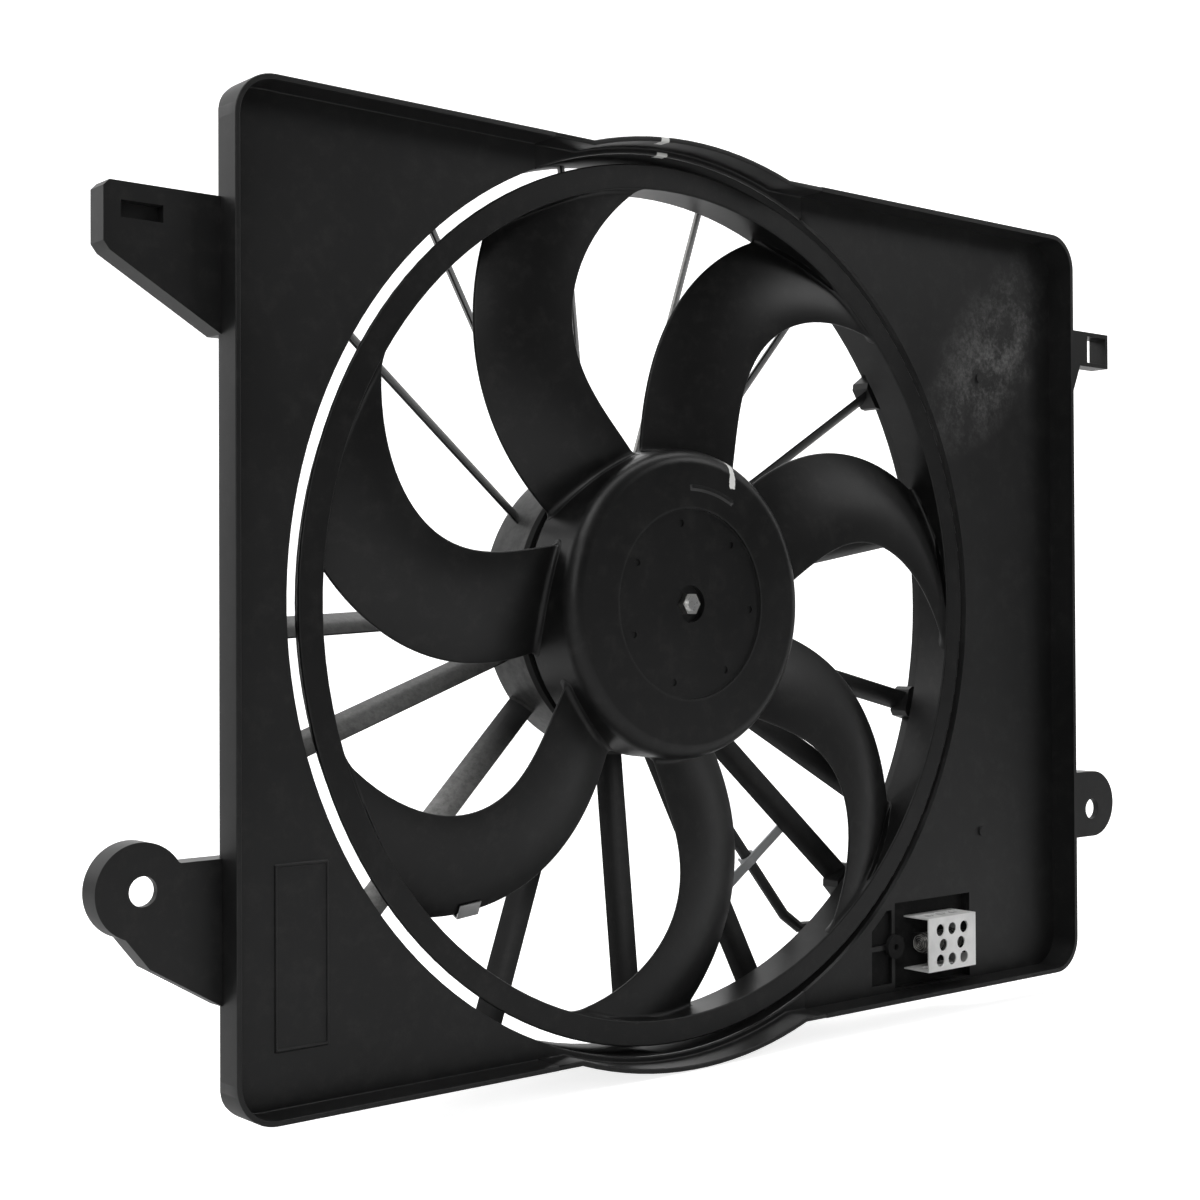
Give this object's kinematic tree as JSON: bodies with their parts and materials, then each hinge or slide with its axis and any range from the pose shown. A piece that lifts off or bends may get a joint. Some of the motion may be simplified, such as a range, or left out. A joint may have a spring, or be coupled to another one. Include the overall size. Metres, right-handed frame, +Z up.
{
  "type": "radiator_fan_module",
  "caption": "Radiator cooling fan module: swept-blade ring fan on an electric motor, in a black moulded shroud with stator vanes, mounting lugs and a caged resistor.",
  "frame": {"origin": "centre of the lower left lug hole, on the lug's front face, which meets the radiator", "axes": "+X to the right along the module's width as seen from the radiator, +Y to the rear along the fan axis, +Z up"},
  "size_m": [0.7646, 0.1107, 0.5212],
  "materials": {
    "moulding_black": "moulded",
    "fan_black": "moulded",
    "carrier_black": "moulded",
    "motor_steel": "plated",
    "ferrite": "sintered",
    "bronze": "sintered",
    "card_brown": "moulded",
    "carbon": "pressed",
    "spring_steel": "bright",
    "screw_steel": "zinc plated",
    "rubber_black": "moulded",
    "lead_sleeve": "smooth",
    "clip_grey": "moulded",
    "cage_metal": "stamped sheet",
    "ceramic": "fired",
    "shaft_steel": "ground",
    "nut_steel": "zinc plated",
    "laminations": "laminated",
    "copper_wire": "enamelled",
    "copper_bars": "turned",
    "clip_steel": "plated"
  },
  "bodies": {
    "housing": {"panel_left": "moulding_black", "panel_right": "moulding_black", "panel_arcs": "moulding_black", "barrel": "moulding_black", "lug_left": "moulding_black", "lug_right": "moulding_black", "bracket_left": "moulding_black", "bracket_right": "moulding_black", "stator_vanes": "moulding_black", "motor_carrier": "moulding_black", "motor_can": "motor_steel", "motor_end_plate": "motor_steel", "motor_magnets": "ferrite", "front_bush": "bronze", "rear_bush": "bronze", "brush_card": "card_brown", "brushes": "carbon", "brush_springs": "spring_steel", "motor_screws": "screw_steel", "lead_grommet": "rubber_black", "motor_lead": "lead_sleeve", "lead_clip": "clip_grey", "resistor_carrier": "carrier_black", "resistor_cage": "cage_metal", "resistor_coil": "ceramic", "resistor_screws": "screw_steel"},
    "rotor": {"fan_hub": "fan_black", "fan_blade_1": "fan_black", "fan_blade_2": "fan_black", "fan_blade_3": "fan_black", "fan_blade_4": "fan_black", "fan_blade_5": "fan_black", "fan_blade_6": "fan_black", "fan_blade_7": "fan_black", "fan_band": "fan_black", "motor_shaft": "shaft_steel", "hub_nut": "nut_steel", "armature_core": "laminations", "armature_windings": "copper_wire", "commutator": "copper_bars", "balance_clip": "clip_steel"}
  },
  "joints": [
    {"name": "fan_spin", "type": "hinge", "parent": "housing", "child": "rotor", "pos_m": [0.332, 0, 0.1318], "axis": [0, 1, 0], "continuous": true}
  ]
}
